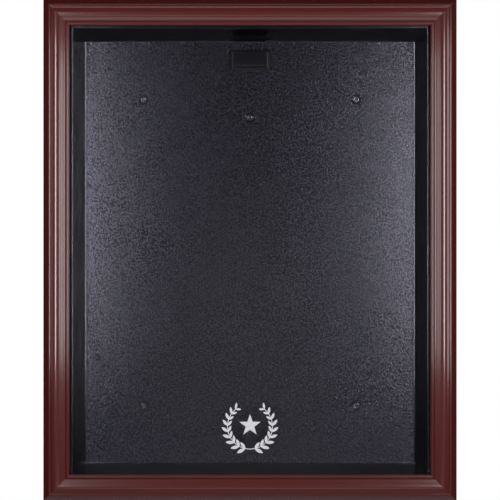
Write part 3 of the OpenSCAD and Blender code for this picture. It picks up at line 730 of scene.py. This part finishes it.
door_w = right_high.x - left_low.x
door_h = top_high.z - bottom_low.z
leaves = ["hinge_door_leaf_top", "hinge_door_leaf_middle", "hinge_door_leaf_bottom"]
rails = [
    ("left", door_h, lambda s, u, y: (left_low.x + u, y, door_mid + s), 2),
    ("right", door_h, lambda s, u, y: (right_high.x - u, y, door_mid - s), 2),
    ("top", door_w, lambda s, u, y: (s, y, top_high.z - u), 0),
    ("bottom", door_w, lambda s, u, y: (-s, y, bottom_low.z + u), 0),
]
nail_pockets = pockets("nail_pockets", ["door_v_nails"])
leaf_pockets = pockets("leaf_pockets", leaves)
mahogany_finishes = {0: mahogany("mahogany_cross", 0), 2: mahogany("mahogany_upright", 2)}
for side, length, to_frame, along in rails:
    rail = rail_shape("moulding_" + side, length, to_frame)
    cut_or_join(rail, nail_pockets, "DIFFERENCE")
    if side == "left":
        cut_or_join(rail, leaf_pockets, "DIFFERENCE")
    settle(rail, mahogany_finishes[along], sharp=38)
    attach(rail, "door")
    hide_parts("door_rail_" + side)
for shape in (nail_pockets, leaf_pockets):
    bpy.data.objects.remove(shape)
dress("door_v_nails", zinc)

# ------------------------------------------------------------------ pane
# Clear cast acrylic, 3 mm, with flame-polished edges, lying loose in the rebate behind the bead. The
# light that it doesn't mirror goes straight through.

pane_low, pane_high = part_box("acrylic_pane")
bm = bmesh.new()
pane_rings = []
for inset, y in soften([(6 * MM, pane_low.y), (0, pane_low.y), (0, pane_high.y), (6 * MM, pane_high.y)],
                       0.6 * MM, steps=4):
    half_w = (pane_high.x - pane_low.x) / 2 - inset
    half_h = (pane_high.z - pane_low.z) / 2 - inset
    pane_rings.append(box_ring(bm, half_w, half_h, (pane_low.z + pane_high.z) / 2, y, 4 * MM))
bridge(bm, pane_rings)
bm.faces.new(pane_rings[0])
bm.faces.new(pane_rings[-1])

acrylic = Finish("clear_acrylic")
dust = acrylic.add("ShaderNodeTexNoise", {}, {"Vector": acrylic.place(), "Scale": 30, "Detail": 5})
mirror = acrylic.add("ShaderNodeBsdfGlossy", {}, {"Color": (1, 1, 1, 1), "Roughness": 0.02 + dust * 0.03})
clear = acrylic.add("ShaderNodeBsdfTransparent", {}, {"Color": (0.968, 0.97, 0.99, 1)})
outside = 1 - acrylic.add("ShaderNodeNewGeometry", out="Backfacing")
share = acrylic.add("ShaderNodeFresnel", {}, {"IOR": 1.49}) * outside * 1.9
pane_material = acrylic.close(acrylic.add("ShaderNodeMixShader", {}, {0: share, 1: clear, 2: mirror}))
pane = make_piece("polished_pane", bm, pane_material)
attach(pane, "door")
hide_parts("acrylic_pane")

# ------------------------------------------------------------------ wreath on the pane
# A plain laurel wreath with a star, frosted white on the outside of the pane near its lower edge. It is a
# thin printed layer and moves with the pane.

etched = Finish("frost_print")
frost = etched.add("ShaderNodeTexNoise", {}, {"Vector": etched.place(), "Scale": 900, "Detail": 3})
frost_bump = etched.add("ShaderNodeBump", {}, {"Strength": 0.3, "Distance": 0.03 * MM, "Height": frost})
frost_white = etched.close(etched.add("ShaderNodeBsdfPrincipled", {}, {
    "Base Color": etched.blend(frost, (0.50, 0.50, 0.53, 1), (0.62, 0.62, 0.66, 1)),
    "Roughness": 0.6 + frost * 0.2, "Normal": frost_bump}))
dress("pane_emblem", frost_white)

# ------------------------------------------------------------------ pane stops
# Four strips of softwood, stained black, that hold the pane in the rebate from behind. They are fixed to
# the mouldings with small zinc-plated brads.

stop_upright = stained_timber("stop_black_upright", 2)
stop_cross = stained_timber("stop_black_cross", 0)
for node in ("pane_stop_left", "pane_stop_right"):
    dress(node, stop_upright)
for node in ("pane_stop_top", "pane_stop_bottom"):
    dress(node, stop_cross)
dress("stop_brads", zinc)

# ------------------------------------------------------------------ studio
# A pale floor well below the case in a white surround, tall soft boxes at both sides, strips above and
# below, a square box behind, a faint round glow card behind the camera, and a wall in painted shade, dark
# grey for the shade the case casts on it, that shows through the bores from the front only. The camera is
# square on to the door.

scene = bpy.context.scene
scene.view_settings.view_transform = "Standard"

floor_half, floor_z = 4, -2
bm = bmesh.new()
bmesh.ops.create_grid(bm, x_segments=2, y_segments=2, size=floor_half)
bmesh.ops.translate(bm, verts=bm.verts, vec=(0, 0, floor_z))
pale = Finish("pale_floor")
mottle = pale.add("ShaderNodeTexNoise", {}, {"Vector": pale.place(), "Scale": 3, "Detail": 3})
floor = make_piece("floor", bm, pale.close(pale.add("ShaderNodeBsdfPrincipled", {}, {
    "Base Color": pale.blend(mottle, (0.72, 0.72, 0.72, 1), (0.76, 0.76, 0.76, 1)), "Roughness": 0.7})))

bm = bmesh.new()
wall_y, wall_half_w, wall_half_h = 2 * MM, 0.42, 0.5
around = ((-1, -1), (1, -1), (1, 1), (-1, 1))
bm.faces.new([bm.verts.new((x * wall_half_w, wall_y, z * wall_half_h)) for x, z in around])
# Painted shade: the wall's dark grey stands for the shade that the case casts on the wall behind it.
shaded_wall = Finish("shade_wall_behind")
shade_mottle = shaded_wall.add("ShaderNodeTexNoise", {}, {"Vector": shaded_wall.place(), "Scale": 40, "Detail": 3})
painted_shade = shaded_wall.add("ShaderNodeBsdfDiffuse", {}, {
    "Color": shaded_wall.blend(shade_mottle, (0.04, 0.04, 0.04, 1), (0.06, 0.06, 0.06, 1))})
gone = shaded_wall.add("ShaderNodeBsdfTransparent")
from_behind = shaded_wall.add("ShaderNodeNewGeometry", out="Backfacing")
wall = make_piece("shade_wall_behind", bm, shaded_wall.close(shaded_wall.add("ShaderNodeMixShader", {}, {
    0: from_behind, 1: painted_shade, 2: gone})))
wall.visible_shadow = wall.visible_diffuse = wall.visible_glossy = False

card_y, card_mid, card_half_w, card_half_h = -4.8, -0.35, 0.70, 0.95
bm = bmesh.new()
bm.faces.new([bm.verts.new((x * card_half_w, card_y, card_mid + z * card_half_h)) for x, z in around])
cloth = Finish("pale_cloth")
from_middle = cloth.add("ShaderNodeVectorMath", {"operation": "MULTIPLY_ADD"}, {
    0: cloth.place(), 1: (1 / card_half_w, 0, 1 / card_half_h), 2: (0, 0, -card_mid / card_half_h)})
reach = cloth.add("ShaderNodeVectorMath", {"operation": "LENGTH"}, {0: from_middle}, out="Value")
fade = cloth.add("ShaderNodeMapRange", {"interpolation_type": "SMOOTHSTEP"}, {
    "Value": reach, "From Min": 0, "From Max": 1, "To Min": 1, "To Max": 0})
card = make_piece("round_glow_card", bm, cloth.close(cloth.add("ShaderNodeEmission", {}, {
    "Color": cloth.blend(fade, (0, 0, 0, 1), (1, 1, 1, 1)), "Strength": 0.14})))
card.visible_camera = False

scene.world = bpy.data.worlds.new("white_surround")
surround = Finish("white_surround", scene.world)
seen = surround.add("ShaderNodeBackground", {}, {"Color": (1, 1, 1, 1)})
felt = surround.add("ShaderNodeBackground", {}, {"Color": (1, 1, 1, 1), "Strength": 0.01})
looked_at = surround.add("ShaderNodeLightPath", out="Is Camera Ray")
sky = surround.add("ShaderNodeMixShader", {}, {0: looked_at, 1: felt, 2: seen})
surround.add("ShaderNodeOutputWorld", {}, {"Surface": sky})


def soft_box(name, place, aim, width, height, power):
    """A rectangular soft light that looks at a point."""
    lamp = bpy.data.lights.new(name, "AREA")
    lamp.shape = "RECTANGLE"
    lamp.size, lamp.size_y, lamp.energy = width, height, power
    light = bpy.data.objects.new(name, lamp)
    light.location = place
    light.rotation_euler = (Vector(aim) - Vector(place)).to_track_quat("-Z", "Y").to_euler()
    light.visible_camera = False
    scene.collection.objects.link(light)


for box in (
    # name, place, aim, width, height, power in watts
    ("left_near", (-0.72, -1.4, 0.14), (0, 0, 0.05), 0.22, 0.9, 11),
    ("left_middle", (-0.75, -2.05, 0.14), (0, 0, 0.05), 0.22, 1.0, 3),
    ("left_far", (-0.87, -3.05, 0.14), (0, 0, 0.05), 0.25, 1.0, 5),
    ("left_side", (-1.6, -1.1, 0.14), (0, 0, 0.05), 0.4, 1.0, 1.6),
    ("right_near", (0.72, -1.4, 0.14), (0, 0, 0.05), 0.22, 0.9, 7),
    ("right_middle", (0.75, -2.05, 0.14), (0, 0, 0.05), 0.22, 1.0, 5),
    ("right_far", (0.87, -3.05, 0.14), (0, 0, 0.05), 0.25, 1.0, 9.5),
    ("right_side", (1.6, -1.1, 0.14), (0, 0, 0.05), 0.4, 1.0, 8.5),
    ("above", (0, -0.9, 1.8), (0, 0, 0.4), 1.6, 0.3, 3.4),
    ("below", (0, -1.6, -1.25), (0, 0, -0.3), 1.6, 0.3, 0.5),
    ("below_front", (0, -3.0, -1.0), (0, 0, 0), 1.4, 0.3, 2.4),
    ("rear_box", (0.6, 2.6, 1.4), (0, 0, 0), 1.6, 1.6, 60),
):
    soft_box(*box)

camera_from_door = 4.5
lens_data = bpy.data.cameras.new("camera")
lens_data.sensor_width = 36
lens_data.lens = 152.75
camera = bpy.data.objects.new("camera", lens_data)
camera.location = (0, left_low.y - camera_from_door, door_mid)
camera.rotation_euler = (math.pi / 2, 0, 0)
scene.collection.objects.link(camera)
scene.camera = camera
